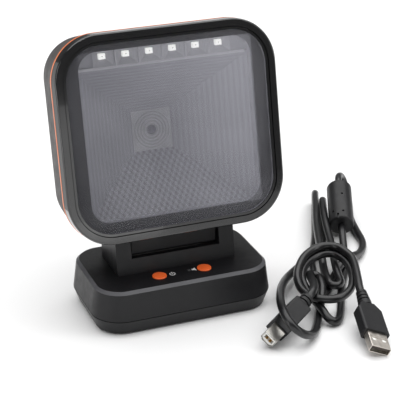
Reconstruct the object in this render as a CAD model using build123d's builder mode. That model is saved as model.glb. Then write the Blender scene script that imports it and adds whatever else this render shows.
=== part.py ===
from build123d import *
import os
from math import sin, cos, radians, tan, sqrt

os.makedirs("parts", exist_ok=True)

# ------------------------------------------------------------------ driving dimensions (mm)
# base
seam_w, seam_d, seam_r = 107.5, 67.3, 17.8      # widest outline, at the seam between the two base mouldings
seam_z, seam_gap = 8.9, 0.4                     # height of the seam and its shadow gap
base_h = 26.4                                   # height of the flat top of the base
top_taper, low_taper = 7.6, 19.6                # wall slopes of the top housing and of the bottom cover, degrees
top_chamfer = 1.6
wall = 2.3
foot_z = 0.8                                    # bottom cover hangs this far above the table, on its pad
pad_w, pad_d, pad_r, pad_h = 78.0, 40.0, 8.0, 1.8

# saddle and ears that carry the head
ear_x0, ear_x1 = 26.7, 35.7                     # inner and outer faces of each ear
saddle_front, saddle_back = -11.3, 19.6
saddle_lean = 3.35                              # the front leans back this much up to the axis
saddle_top = 35.3                               # floor of the gap between the ears
axis_y, axis_z = 5.0, 44.0                      # tilt axis
ear_r = 14.6
trough_r = 14.3
pin_r, bush_clear = 4.0, 0.05

# buttons
btn_x, btn_y, btn_r, btn_gap = 13.55, -18.75, 4.15, 0.3
btn_proud, btn_travel = 0.5, 0.6

# head, laid out on its own plane: the front face of the window glass, tilted back
tilt = 12.28
win_y, win_z = -6.98, 109.0                     # centre of the clear window
head_w, head_h, head_r, head_v = 128.0, 116.3, 26.0, -1.15
clear_w, clear_h, clear_r = 100.0, 94.5, 10.5
rim_front, bezel_back, ring_back, head_back = -1.2, 7.4, 9.2, 50.0
shell_taper = 7.0
tunnel_front, tunnel_end = 9.4, 37.4
panel_s, panel_v = 23.6, -5.0
led_pitch, led_v, led_u = 13.59, 43.7, 0.0

HEAD = Plane(origin=(0, win_y, win_z), x_dir=(1, 0, 0), z_dir=(0, -cos(radians(tilt)), sin(radians(tilt))))


def hp(w):
    """Plane parallel to the window, w behind the front face of the glass."""
    return HEAD.offset(-w)


XAX = Plane(origin=(0, axis_y, axis_z), x_dir=(0, 1, 0), z_dir=(1, 0, 0))   # tilt axis, normal +X


def xax(x):
    return XAX.offset(x)


# ------------------------------------------------------------------ base: top housing with saddle and ears
screw_pos = [(43.5, 20.0), (-43.5, 20.0), (43.5, -20.0), (-43.5, -20.0)]
post_pos = [(33.5, 16.5), (-33.5, 16.5), (33.5, -16.5), (-33.5, -16.5)]
top_z0 = seam_z + seam_gap
sock_w, sock_h, sock_d = 12.0, 10.6, 16.0       # USB type B receptacle
board_z, board_t = 10.4, 1.6
sock_z0 = board_z + board_t
sock_y1 = 32.3                                   # mouth of the receptacle

with BuildPart() as saddle:
    # front leaning back, round top over the tilt axis
    with BuildSketch(Plane.YZ.offset(-ear_x1)):
        with BuildLine():
            Polyline((axis_y + ear_r, axis_z), (saddle_back, base_h - 1.0), (saddle_front, base_h - 1.0),
                     (saddle_front + saddle_lean, axis_z + 0.6))
            ThreePointArc((saddle_front + saddle_lean, axis_z + 0.6), (axis_y + 0.8, axis_z + ear_r),
                          (axis_y + ear_r, axis_z))
        make_face()
    extrude(amount=2 * ear_x1)
    # soften the outer upright corners
    with BuildSketch(Plane.XY.offset(base_h - 3.0)):
        with Locations((0, (saddle_front + saddle_back) / 2)):
            RectangleRounded(2 * ear_x1, saddle_back - saddle_front, 0.9)
    extrude(amount=50.0, mode=Mode.INTERSECT)
    # gap between the ears
    with BuildSketch(Plane.XY.offset(saddle_top)):
        with Locations((0, axis_y)):
            Rectangle(2 * ear_x0, 60.0)
    extrude(amount=40.0, mode=Mode.SUBTRACT)
    # round trough that the neck turns in
    with BuildSketch(xax(-ear_x0)):
        Circle(trough_r)
    extrude(amount=2 * ear_x0, mode=Mode.SUBTRACT)

with BuildPart() as saddle_hollow:
    with BuildSketch(Plane.XY.offset(base_h - 3.0)):
        with Locations((0, (saddle_front + saddle_back) / 2 + 0.55)):
            Rectangle(2 * ear_x1 - 5.0, saddle_back - saddle_front - 6.1)
    extrude(amount=saddle_top - 2.4 - (base_h - 3.0))
    with BuildSketch(xax(-ear_x1)):
        Circle(trough_r + 2.2)
    extrude(amount=2 * ear_x1, mode=Mode.SUBTRACT)

with BuildPart() as base_top_housing:
    with BuildSketch(Plane.XY.offset(top_z0)):
        RectangleRounded(seam_w, seam_d, seam_r)
    extrude(amount=base_h - top_z0, taper=top_taper)
    chamfer(base_top_housing.faces().sort_by(Axis.Z)[-1].edges(), top_chamfer)
    # hollow underneath
    with BuildSketch(Plane.XY.offset(top_z0)):
        RectangleRounded(seam_w - 2 * wall, seam_d - 2 * wall, seam_r - wall)
    extrude(amount=base_h - top_z0 - 2.4, taper=top_taper, mode=Mode.SUBTRACT)
    # saddle and ears across the top
    add(saddle.part)
    # saddle is hollow from below, closed over the top
    add(saddle_hollow.part, mode=Mode.SUBTRACT)
    # wire slot through the back of the trough
    with BuildSketch(Plane.XY.offset(saddle_top - 7.0)):
        with Locations((0, axis_y + 9.5)):
            SlotOverall(16.0, 3.6)
    extrude(amount=8.0, mode=Mode.SUBTRACT)
    # blind bores for the two hinge pins
    with BuildSketch(xax(ear_x0 - 1.0)):
        Circle(pin_r + 0.01)
    extrude(amount=7.0 + 1.0, mode=Mode.SUBTRACT)
    with BuildSketch(xax(-ear_x0 + 1.0)):
        Circle(pin_r + 0.01)
    extrude(amount=-(7.0 + 1.0), mode=Mode.SUBTRACT)
    # button holes
    with BuildSketch(Plane.XY.offset(base_h - 4.0)):
        with Locations((btn_x, btn_y), (-btn_x, btn_y)):
            Circle(btn_r + btn_gap)
    extrude(amount=6.0, mode=Mode.SUBTRACT)
    # screw bosses
    with BuildSketch(Plane.XY.offset(5.2)):
        with Locations(*screw_pos):
            Circle(3.3)
    extrude(amount=base_h - 2.0 - 5.2)
    with BuildSketch(Plane.XY.offset(5.0)):
        with Locations(*screw_pos):
            Circle(1.55)
    extrude(amount=12.0, mode=Mode.SUBTRACT)
    # receptacle opening in the back wall
    with BuildSketch(Plane.XZ.offset(-40.0)):
        with Locations((0, sock_z0 + sock_h / 2)):
            RectangleRounded(sock_w + 0.5, sock_h + 0.5, 0.8)
    extrude(amount=14.0, mode=Mode.SUBTRACT)
base_top_housing.part.label = "base_top_housing"

# ------------------------------------------------------------------ base: bottom cover
with BuildPart() as base_bottom_cover:
    with BuildSketch(Plane.XY.offset(seam_z)):
        RectangleRounded(seam_w, seam_d, seam_r)
    extrude(amount=-(seam_z - foot_z), taper=low_taper)
    with BuildSketch(Plane.XY.offset(seam_z)):
        RectangleRounded(seam_w - 2 * wall - 1.0, seam_d - 2 * wall - 1.0, seam_r - wall - 0.5)
    extrude(amount=-(seam_z - 3.0), taper=low_taper, mode=Mode.SUBTRACT)
    # locating lip that stands up inside the top housing
    with BuildSketch(Plane.XY.offset(seam_z - 1.5)):
        RectangleRounded(seam_w - 2 * wall - 0.9, seam_d - 2 * wall - 0.9, seam_r - wall - 0.45)
        RectangleRounded(seam_w - 2 * wall - 4.1, seam_d - 2 * wall - 4.1, seam_r - wall - 2.05, mode=Mode.SUBTRACT)
    extrude(amount=3.0)
    # board posts
    with BuildSketch(Plane.XY.offset(2.5)):
        with Locations(*post_pos):
            Circle(2.8)
    extrude(amount=board_z - 2.5)
    # recess for the pad
    with BuildSketch(Plane.XY.offset(foot_z - 0.5)):
        RectangleRounded(pad_w, pad_d, pad_r)
    extrude(amount=pad_h - foot_z + 0.5, mode=Mode.SUBTRACT)
    # screw holes with counterbores
    with BuildSketch(Plane.XY.offset(foot_z - 0.5)):
        with Locations(*screw_pos):
            Circle(1.75)
    extrude(amount=8.0, mode=Mode.SUBTRACT)
    with BuildSketch(Plane.XY.offset(foot_z - 0.5)):
        with Locations(*screw_pos):
            Circle(3.1)
    extrude(amount=1.7, mode=Mode.SUBTRACT)
base_bottom_cover.part.label = "base_bottom_cover"

with BuildPart() as anti_slip_pad:
    with BuildSketch(Plane.XY):
        RectangleRounded(pad_w, pad_d, pad_r)
    extrude(amount=pad_h)
anti_slip_pad.part.label = "anti_slip_pad"

with BuildPart() as ballast_plate:
    with BuildSketch(Plane.XY.offset(3.1)):
        RectangleRounded(58.0, 46.0, 3.0)
    extrude(amount=4.5)
ballast_plate.part.label = "ballast_plate"

with BuildPart() as base_screws:
    with BuildSketch(Plane.XY.offset(foot_z + 0.2)):
        with Locations(*screw_pos):
            Circle(2.7)
    extrude(amount=1.0)
    with BuildSketch(Plane.XY.offset(foot_z + 0.2)):
        with Locations(*screw_pos):
            Circle(1.5)
    extrude(amount=10.0)
    # cross recess
    with BuildSketch(Plane.XY.offset(foot_z + 0.2)):
        with Locations(*screw_pos):
            Rectangle(3.0, 0.7)
            Rectangle(0.7, 3.0)
    extrude(amount=0.6, mode=Mode.SUBTRACT)
base_screws.part.label = "base_screws"

# ------------------------------------------------------------------ base: electronics
with BuildPart() as base_board:
    with BuildSketch(Plane.XY.offset(board_z)):
        RectangleRounded(76.0, 42.0, 2.0)
    extrude(amount=board_t)
base_board.part.label = "base_board"

with BuildPart() as usb_b_socket:
    with BuildSketch(Plane.XZ.offset(-sock_y1)):
        with Locations((0, sock_z0 + sock_h / 2 + 0.02)):
            RectangleRounded(sock_w, sock_h, 0.5)
    extrude(amount=sock_d)
    # cavity for the plug
    with BuildSketch(Plane.XZ.offset(-sock_y1)):
        with BuildLine():
            cz = sock_z0 + sock_h / 2
            Polyline((-4.35, cz - 4.05), (4.35, cz - 4.05), (4.35, cz + 2.4), (2.7, cz + 4.05), (-2.7, cz + 4.05),
                     (-4.35, cz + 2.4), close=True)
        make_face()
    extrude(amount=12.0, mode=Mode.SUBTRACT)
usb_b_socket.part.label = "usb_b_socket"

with BuildPart() as usb_b_tongue:
    with BuildSketch(Plane.XZ.offset(-(sock_y1 - 5.2))):
        with Locations((0, sock_z0 + sock_h / 2 - 0.2)):
            Rectangle(5.4, 3.0)
    extrude(amount=6.8)
usb_b_tongue.part.label = "usb_b_tongue"

with BuildPart() as power_switch:
    with BuildSketch(Plane.XY.offset(board_z + board_t)):
        with Locations((-btn_x, btn_y + 1.0)):
            RectangleRounded(6.0, 6.0, 0.4)
    extrude(amount=3.4)
    with BuildSketch(Plane.XY.offset(board_z + board_t + 3.4)):
        with Locations((-btn_x, btn_y)):
            Circle(1.6)
    extrude(amount=0.8)
power_switch.part.label = "power_switch"

with BuildPart() as volume_switch:
    with BuildSketch(Plane.XY.offset(board_z + board_t)):
        with Locations((btn_x, btn_y + 1.0)):
            RectangleRounded(6.0, 6.0, 0.4)
    extrude(amount=3.4)
    with BuildSketch(Plane.XY.offset(board_z + board_t + 3.4)):
        with Locations((btn_x, btn_y)):
            Circle(1.6)
    extrude(amount=0.8)
volume_switch.part.label = "volume_switch"

with BuildPart() as beeper:
    with BuildSketch(Plane.XY.offset(board_z + board_t)):
        with Locations((24.0, 4.0)):
            Circle(6.0)
    extrude(amount=5.0)
    with BuildSketch(Plane.XY.offset(board_z + board_t + 4.0)):
        with Locations((24.0, 4.0)):
            Circle(1.2)
    extrude(amount=2.0, mode=Mode.SUBTRACT)
beeper.part.label = "beeper"

with BuildPart() as base_controller:
    with BuildSketch(Plane.XY.offset(board_z + board_t)):
        with Locations((-20.0, 4.0)):
            Rectangle(8.0, 8.0)
    extrude(amount=1.0)
base_controller.part.label = "base_controller"

with BuildPart() as harness_header:
    with BuildSketch(Plane.XY.offset(board_z + board_t)):
        with Locations((0.0, 4.0)):
            Rectangle(10.0, 5.0)
    extrude(amount=4.6)
    with BuildSketch(Plane.XY.offset(board_z + board_t + 1.2)):
        with Locations((0.0, 4.0)):
            Rectangle(8.4, 3.4)
    extrude(amount=4.0, mode=Mode.SUBTRACT)
harness_header.part.label = "harness_header"

# ------------------------------------------------------------------ base: printed icons and status light
icon_z, icon_t = base_h, 0.12
ip_x, ip_y = -5.9, -19.2                       # power symbol, right of the power button
with BuildPart() as power_icon:
    with BuildSketch(Plane.XY.offset(icon_z)):
        with Locations((ip_x, ip_y)):
            Circle(1.75)
            Circle(1.3, mode=Mode.SUBTRACT)
        with Locations((ip_x, ip_y + 1.6)):
            Rectangle(1.5, 1.6, mode=Mode.SUBTRACT)
        with Locations((ip_x, ip_y + 1.2)):
            Rectangle(0.5, 2.2)
    extrude(amount=icon_t)
power_icon.part.label = "power_icon"

iv_x, iv_y = 7.6, -18.4                          # loudspeaker symbol, left of the volume button
with BuildPart() as speaker_icon:
    with BuildSketch(Plane.XY.offset(icon_z)):
        with BuildLine():
            Polyline((iv_x - 1.5, iv_y - 0.7), (iv_x - 0.5, iv_y - 0.7), (iv_x + 0.8, iv_y - 1.8), (iv_x + 0.8, iv_y + 1.8),
                     (iv_x - 0.5, iv_y + 0.7), (iv_x - 1.5, iv_y + 0.7), close=True)
        make_face()
    extrude(amount=icon_t)
    # two sound waves
    for rw in (1.9, 2.8):
        with BuildSketch(Plane.XY.offset(icon_z)) as wave:
            with Locations((iv_x - 1.0, iv_y)):
                Circle(rw)
                Circle(rw - 0.32, mode=Mode.SUBTRACT)
            with BuildLine():
                Polyline((iv_x - 1.0, iv_y), (iv_x - 6.0, iv_y + 2.6), (iv_x - 6.0, iv_y - 2.6), close=True)
            make_face(mode=Mode.INTERSECT)
        extrude(amount=icon_t)
speaker_icon.part.label = "speaker_icon"

# ------------------------------------------------------------------ buttons
btn_nodes = []
for nm, sx in (("power_button_cap", -btn_x), ("volume_button_cap", btn_x)):
    with BuildPart() as button_cap:
        with BuildSketch(Plane.XY.offset(base_h - 3.8)):
            with Locations((sx, btn_y)):
                Circle(btn_r)
        extrude(amount=3.8 + btn_proud)
        fillet(button_cap.faces().sort_by(Axis.Z)[-1].edges(), 0.4)
        with BuildSketch(Plane.XY.offset(base_h - 3.8)):
            with Locations((sx, btn_y)):
                Circle(btn_r + 1.3)
        extrude(amount=1.0)
        with BuildSketch(Plane.XY.offset(17.0)):
            with Locations((sx, btn_y)):
                Circle(1.5)
        extrude(amount=base_h - 3.8 - 17.0)
    button_cap.part.label = nm
    btn_nodes.append(button_cap.part)

# ------------------------------------------------------------------ hinge pins and washers (fixed in the ears)
hinge_nodes = []
for nm, s in (("left", -1), ("right", 1)):
    with BuildPart() as hinge_pin:
        with BuildSketch(xax(s * 16.6)):
            Circle(pin_r)
        extrude(amount=s * (ear_x0 + 6.9 - 16.6))
    hinge_pin.part.label = "hinge_pin_" + nm
    hinge_nodes.append(hinge_pin.part)
    with BuildPart() as washer:
        with BuildSketch(xax(s * (ear_x0 - 0.8))):
            Circle(7.0)
            Circle(pin_r + 0.05, mode=Mode.SUBTRACT)
        extrude(amount=s * 0.8)
    washer.part.label = "friction_washer_" + nm
    hinge_nodes.append(washer.part)

# ------------------------------------------------------------------ head: neck knuckle between the ears
neck_x = ear_x0 - 1.2
with BuildPart() as neck_knuckle:
    with BuildSketch(xax(-neck_x)):
        Circle(8.0)
        with BuildLine():
            Polyline((-11.0, -7.6), (-11.0, 14.0), (16.0, 14.0), (13.2, 0.0), (9.0, -3.0), (2.0, -9.0), (-9.6, -9.0), close=True)
        make_face()
    extrude(amount=2 * neck_x)
    # keep only what hangs below the head's underside plus a tongue inside the shell
    with BuildSketch(hp(rim_front - 2)):
        with Locations((0, head_v)):
            Rectangle(200.0, head_h - 10.0)
    extrude(amount=-70.0, mode=Mode.SUBTRACT)
    with BuildSketch(hp(11.2)):
        with Locations((0, -60.0)):
            Rectangle(120.0, 40.0)
    extrude(amount=20.0, mode=Mode.SUBTRACT)
    fillet(neck_knuckle.edges().filter_by(Axis.X).filter_by(
        lambda e: e.center().Z < axis_z - 3 and e.center().Y < axis_y - 8), 0.8)
    # bores for the bushes
    with BuildSketch(xax(-neck_x - 1)):
        Circle(5.0)
    extrude(amount=11.0, mode=Mode.SUBTRACT)
    with BuildSketch(xax(neck_x + 1)):
        Circle(5.0)
    extrude(amount=-11.0, mode=Mode.SUBTRACT)
    # wire way: straight hole up from the barrel's back into the head
    with BuildSketch(Plane.XY.offset(axis_z - 12.0)):
        with Locations((0, axis_y + 4.5)):
            SlotOverall(12.0, 3.6)
    extrude(amount=30.0, mode=Mode.SUBTRACT)
neck_knuckle.part.label = "neck_knuckle"

bush_nodes = []
for nm, s in (("left", -1), ("right", 1)):
    with BuildPart() as bush:
        with BuildSketch(xax(s * (neck_x - 9.9))):
            Circle(5.0)
            Circle(pin_r + bush_clear, mode=Mode.SUBTRACT)
        extrude(amount=s * 9.9)
    bush.part.label = "hinge_bush_" + nm
    bush_nodes.append(bush.part)

# ------------------------------------------------------------------ head: rear shell
ear_swing_r = ear_r + 0.9
with BuildPart() as shell_cavity:
    with BuildSketch(hp(ring_back - 1.0)):
        with Locations((0, head_v)):
            RectangleRounded(head_w - 5.2, head_h - 5.2, head_r - 2.6)
    extrude(amount=-(head_back - 2.6 - ring_back + 1.0), taper=shell_taper)
    fillet(shell_cavity.faces().sort_by(Axis(HEAD.origin, HEAD.z_dir))[0].edges(), 12.0)
    for s in (-1, 1):
        with BuildSketch(xax(s * (ear_x0 - 3.0))):
            Circle(ear_swing_r + 2.0)
        extrude(amount=s * (ear_x1 - ear_x0 + 6.0), mode=Mode.SUBTRACT)

with BuildPart() as head_rear_shell:
    with BuildSketch(hp(ring_back)):
        with Locations((0, head_v)):
            RectangleRounded(head_w - 0.4, head_h - 0.4, head_r - 0.2)
    extrude(amount=-(head_back - ring_back), taper=shell_taper)
    fillet(head_rear_shell.faces().sort_by(Axis(HEAD.origin, HEAD.z_dir))[0].edges(), 15.0)
    add(shell_cavity.part, mode=Mode.SUBTRACT)
    # pockets that swing round the ears
    for s in (-1, 1):
        with BuildSketch(xax(s * (ear_x0 - 0.9))):
            Circle(ear_swing_r)
        extrude(amount=s * (ear_x1 - ear_x0 + 1.8), mode=Mode.SUBTRACT)
    # board posts on the back wall
    with BuildSketch(hp(46.0)):
        with Locations((36.0, 24.0), (-36.0, 24.0), (36.0, -28.0), (-36.0, -28.0)):
            Circle(3.0)
    extrude(amount=-2.5)
    add(neck_knuckle.part, mode=Mode.SUBTRACT)
    # room for the bushes and pins
    with BuildSketch(xax(-neck_x - 1.0)):
        Circle(5.0)
    extrude(amount=11.0, mode=Mode.SUBTRACT)
    with BuildSketch(xax(neck_x + 1.0)):
        Circle(5.0)
    extrude(amount=-11.0, mode=Mode.SUBTRACT)
    # wire way
    with BuildSketch(Plane.XY.offset(axis_z - 2.0)):
        with Locations((0, axis_y + 4.5)):
            SlotOverall(12.0, 3.6)
    extrude(amount=16.0, mode=Mode.SUBTRACT)
head_rear_shell.part.label = "head_rear_shell"

# ------------------------------------------------------------------ head: accent ring and bezel
with BuildPart() as accent_ring:
    with BuildSketch(hp(bezel_back)):
        with Locations((0, head_v)):
            RectangleRounded(head_w + 0.2, head_h + 0.2, head_r + 0.1)
            RectangleRounded(head_w - 6.0, head_h - 6.0, head_r - 3.0, mode=Mode.SUBTRACT)
    extrude(amount=-(ring_back - bezel_back))
accent_ring.part.label = "accent_ring"

with BuildPart() as front_bezel:
    with BuildSketch(hp(rim_front)):
        with Locations((0, head_v)):
            RectangleRounded(head_w, head_h, head_r)
    extrude(amount=-(bezel_back - rim_front))
    fillet(front_bezel.faces().sort_by(Axis(HEAD.origin, HEAD.z_dir))[-1].edges(), 1.1)
    with BuildSketch(hp(rim_front - 1)):
        with Locations((0, head_v)):
            RectangleRounded(head_w - 8.4, head_h - 8.4, head_r - 4.2)
    extrude(amount=-12.0, mode=Mode.SUBTRACT)
    with BuildSketch(hp(1.85)):
        with Locations((0, head_v)):
            RectangleRounded(head_w - 5.0, head_h - 5.0, head_r - 2.5)
    extrude(amount=-8.0, mode=Mode.SUBTRACT)
front_bezel.part.label = "front_bezel"

with BuildPart() as window_trim:
    with BuildSketch(hp(-0.6)):
        with Locations((0, head_v)):
            RectangleRounded(head_w - 9.2, head_h - 9.2, head_r - 4.6)
            RectangleRounded(head_w - 12.0, head_h - 12.0, head_r - 6.0, mode=Mode.SUBTRACT)
    extrude(amount=-2.2)
window_trim.part.label = "window_trim"

with BuildPart() as window_glass:
    with BuildSketch(hp(0)):
        with Locations((0, head_v)):
            RectangleRounded(head_w - 12.1, head_h - 12.1, head_r - 6.05)
    extrude(amount=-1.6)
window_glass.part.label = "window_glass"

with BuildPart() as window_mask:
    with BuildSketch(hp(1.6)):
        with Locations((0, head_v)):
            RectangleRounded(head_w - 9.2, head_h - 9.2, head_r - 4.6)
        RectangleRounded(clear_w, clear_h, clear_r, mode=Mode.SUBTRACT)
    extrude(amount=-0.25)
window_mask.part.label = "window_mask"

with BuildPart() as window_gasket:
    with BuildSketch(hp(1.85)):
        with Locations((0, head_v)):
            RectangleRounded(head_w - 9.2, head_h - 9.2, head_r - 4.6)
        RectangleRounded(clear_w + 3.0, clear_h + 3.0, clear_r + 1.0, mode=Mode.SUBTRACT)
    extrude(amount=-1.0)
window_gasket.part.label = "window_gasket"

# ------------------------------------------------------------------ head: light tunnel behind the window
tun_w, tun_top, tun_bot, tun_wall = 102.0, 36.0, -48.2, 1.4
tun_h, tun_c = tun_top - tun_bot, (tun_top + tun_bot) / 2
frame_h, frame_c = 96.4, 0.0
with BuildPart() as light_tunnel:
    # flange behind the gasket
    with BuildSketch(hp(2.85)):
        with Locations((0, head_v)):
            RectangleRounded(head_w - 7.4, head_h - 7.4, head_r - 3.7)
    extrude(amount=-1.5)
    # straight frame
    with BuildSketch(hp(4.3)):
        RectangleRounded(tun_w + 2 * tun_wall, frame_h + 2 * tun_wall, clear_r)
    extrude(amount=-(tunnel_front - 4.3))
    # sloping outside
    with BuildSketch(hp(tunnel_front)):
        with Locations((0, tun_c)):
            Rectangle(tun_w + 2 * tun_wall, tun_h + 2 * tun_wall)
    with BuildSketch(hp(tunnel_end)):
        with Locations((0, panel_v)):
            Rectangle(panel_s + 2 * tun_wall, panel_s + 2 * tun_wall)
    loft()
    # straight inside
    with BuildSketch(hp(2.0)):
        RectangleRounded(tun_w, frame_h, clear_r - 1.0)
    extrude(amount=-(tunnel_front - 2.0), mode=Mode.SUBTRACT)
    # sloping inside
    with BuildSketch(hp(tunnel_front - 0.01)):
        with Locations((0, tun_c)):
            Rectangle(tun_w - 0.5, tun_h)
    with BuildSketch(hp(tunnel_end + 0.01)):
        with Locations((0, panel_v)):
            Rectangle(panel_s, panel_s)
    loft(mode=Mode.SUBTRACT)
light_tunnel.part.label = "light_tunnel"

with BuildPart() as led_reflector:
    # plate above the tunnel mouth
    with BuildSketch(hp(tunnel_front)):
        with BuildLine():
            Polyline((-tun_w / 2 + 0.3, tun_top + 1.8), (tun_w / 2 - 0.3, tun_top + 1.8), (tun_w / 2 - 0.3, 41.0),
                     (44.0, 47.9), (-44.0, 47.9), (-tun_w / 2 + 0.3, 41.0), close=True)
        make_face()
    extrude(amount=-1.2)
    # ribs between the cells
    with BuildSketch(hp(5.2)):
        with Locations(*[(led_u + (k - 2) * led_pitch, 42.9) for k in range(5)]):
            Rectangle(1.1, 9.6)
    extrude(amount=-(tunnel_front - 5.2))
    # windows for the lamps
    with BuildSketch(hp(tunnel_front - 0.5)):
        with Locations(*[(led_u + (k - 2.5) * led_pitch, led_v) for k in range(6)]):
            Rectangle(4.4, 3.9)
    extrude(amount=-3.0, mode=Mode.SUBTRACT)
led_reflector.part.label = "led_reflector"

with BuildPart() as led_board:
    with BuildSketch(hp(tunnel_front + 1.3)):
        with Locations((0, 43.6)):
            Rectangle(86.0, 7.2)
    extrude(amount=-1.2)
led_board.part.label = "led_board"

led_nodes = []
for k in range(6):
    with BuildPart() as led:
        with BuildSketch(hp(tunnel_front + 1.3)):
            with Locations((led_u + (k - 2.5) * led_pitch, led_v)):
                Rectangle(3.6, 3.1)
        extrude(amount=2.7)
        with BuildSketch(hp(tunnel_front - 1.4)):
            with Locations((led_u + (k - 2.5) * led_pitch, led_v)):
                Circle(0.5)
        extrude(amount=-0.3, mode=Mode.SUBTRACT)
    led.part.label = "led_%d" % (k + 1)
    led_nodes.append(led.part)

with BuildPart() as lens_panel:
    with BuildSketch(hp(tunnel_end + 0.02)):
        with Locations((0, panel_v)):
            Rectangle(panel_s + 2 * tun_wall, panel_s + 2 * tun_wall)
    extrude(amount=-1.2)
    for r in (4.4, 6.2, 8.0, 9.8):
        with BuildSketch(hp(tunnel_end + 0.02)):
            with Locations((0, panel_v)):
                Circle(r)
                Circle(r - 0.8, mode=Mode.SUBTRACT)
        extrude(amount=0.4)
    with BuildSketch(hp(tunnel_end - 2)):
        with Locations((0, panel_v)):
            Circle(2.9)
    extrude(amount=-6.0, mode=Mode.SUBTRACT)
lens_panel.part.label = "lens_panel"

with BuildPart() as camera_lens:
    with BuildSketch(hp(tunnel_end + 0.1)):
        with Locations((0, panel_v)):
            Circle(2.75)
    extrude(amount=-1.6)
    fillet(camera_lens.faces().sort_by(Axis(HEAD.origin, HEAD.z_dir))[-1].edges(), 0.8)
camera_lens.part.label = "camera_lens"

with BuildPart() as lens_barrel:
    with BuildSketch(hp(tunnel_end + 1.22)):
        with Locations((0, panel_v)):
            Circle(6.0)
    extrude(amount=-(44.4 - tunnel_end - 1.22))
    with BuildSketch(hp(tunnel_end)):
        with Locations((0, panel_v)):
            Circle(2.85)
    extrude(amount=-12, mode=Mode.SUBTRACT)
    with BuildSketch(hp(42.6)):
        with Locations((0, panel_v)):
            Rectangle(7.6, 7.6)
    extrude(amount=-3, mode=Mode.SUBTRACT)
lens_barrel.part.label = "lens_barrel"

with BuildPart() as image_sensor:
    with BuildSketch(hp(43.2)):
        with Locations((0, panel_v)):
            Rectangle(7.0, 7.0)
    extrude(amount=-1.2)
image_sensor.part.label = "image_sensor"

with BuildPart() as head_board:
    with BuildSketch(hp(44.4)):
        with Locations((0, -2.0)):
            RectangleRounded(80.0, 62.0, 3.0)
    extrude(amount=-1.6)
head_board.part.label = "head_board"

with BuildPart() as decoder_chip:
    with BuildSketch(hp(43.1)):
        with Locations((22.0, -2.0)):
            Rectangle(12.0, 12.0)
    extrude(amount=-1.3)
decoder_chip.part.label = "decoder_chip"

with BuildPart() as head_connector:
    with BuildSketch(hp(41.0)):
        with Locations((0, -29.0)):
            Rectangle(11.0, 5.0)
    extrude(amount=-3.4)
    with BuildSketch(hp(41.0)):
        with Locations((0, -29.0)):
            Rectangle(9.4, 3.4)
    extrude(amount=-2.4, mode=Mode.SUBTRACT)
head_connector.part.label = "head_connector"

# ------------------------------------------------------------------ loose USB lead, coiled beside the scanner
cord_r = 2.4
lead_a_pts = [(93.8, -59.1, 14.1), (94.7, -55.2, 15.0), (99.7, -42.8, 16.5), (106.2, -24.4, 18.2)]
lead_b_pts = [(69.1, -12.8, 7.2), (58.0, -29.0, 11.9), (48.6, -46.7, 15.7), (41.6, -63.5, 19.3), (39.4, -71.4, 19.7),
              (38.8, -76.5, 18.5), (39.6, -80.4, 16.7), (41.8, -82.4, 13.9), (45.1, -82.4, 10.8), (49.2, -80.8, 7.6),
              (55.1, -76.7, 4.2), (62.2, -67.3, 2.5), (71.7, -50.6, 2.0)]
ferrite_p0, ferrite_p1, ferrite_r = Vector(129.0, 35.2, 9.0), Vector(142.1, 66.4, 20.5), 8.0
plug_a_tip, plug_a_end, plug_a_x = Vector(81.57, -105.56, 4.35), Vector(93.83, -59.13, 14.11), Vector(0.9148, -0.1641, -0.3691)
plug_b_tip, plug_b_end, plug_b_x = Vector(28.7, -75.5, 6.2), Vector(61.9, -54.97, 14.93), Vector(0.521, -0.573, -0.6326)


def along(p0, p1):
    """Plane at p0 whose normal points to p1 and whose X is level."""
    d = (p1 - p0).normalized()
    return Plane(origin=p0, x_dir=Vector(-d.Y, d.X, 0).normalized() * (-1), z_dir=d)


FER = along(ferrite_p0, ferrite_p1)
fer_len = (ferrite_p1 - ferrite_p0).length
PA = Plane(origin=plug_a_tip, x_dir=plug_a_x, z_dir=(plug_a_end - plug_a_tip).normalized())      # lies rolled on one long edge
PB = Plane(origin=plug_b_tip, x_dir=plug_b_x, z_dir=(plug_b_end - plug_b_tip).normalized())      # lies on one corner
len_a = (plug_a_end - plug_a_tip).length
len_b = (plug_b_end - plug_b_tip).length

with BuildPart() as ferrite_core:
    with BuildSketch(FER):
        Circle(ferrite_r)
    extrude(amount=fer_len)
    fillet(ferrite_core.edges().filter_by(GeomType.CIRCLE), 1.4)
    with BuildSketch(FER.offset(-1)):
        Circle(cord_r + 0.05)
    extrude(amount=fer_len + 2, mode=Mode.SUBTRACT)
    # gate marks and a short slot in the upper side
    for t, ang in ((22.1, 276.0), (6.0, 276.0), (7.0, 228.0)):
        n = FER.x_dir * cos(radians(ang)) + FER.y_dir * sin(radians(ang))
        with BuildSketch(Plane(origin=FER.origin + FER.z_dir * t + n * ferrite_r, x_dir=FER.z_dir, z_dir=n)):
            Circle(0.75)
        extrude(amount=-0.9, mode=Mode.SUBTRACT)
    n = FER.x_dir * cos(radians(251.0)) + FER.y_dir * sin(radians(251.0))
    with BuildSketch(Plane(origin=FER.origin + FER.z_dir * 2.2 + n * ferrite_r, x_dir=FER.z_dir, z_dir=n)):
        Rectangle(3.8, 1.2)
    extrude(amount=-1.0, mode=Mode.SUBTRACT)
ferrite_core.part.label = "ferrite_core"

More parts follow.
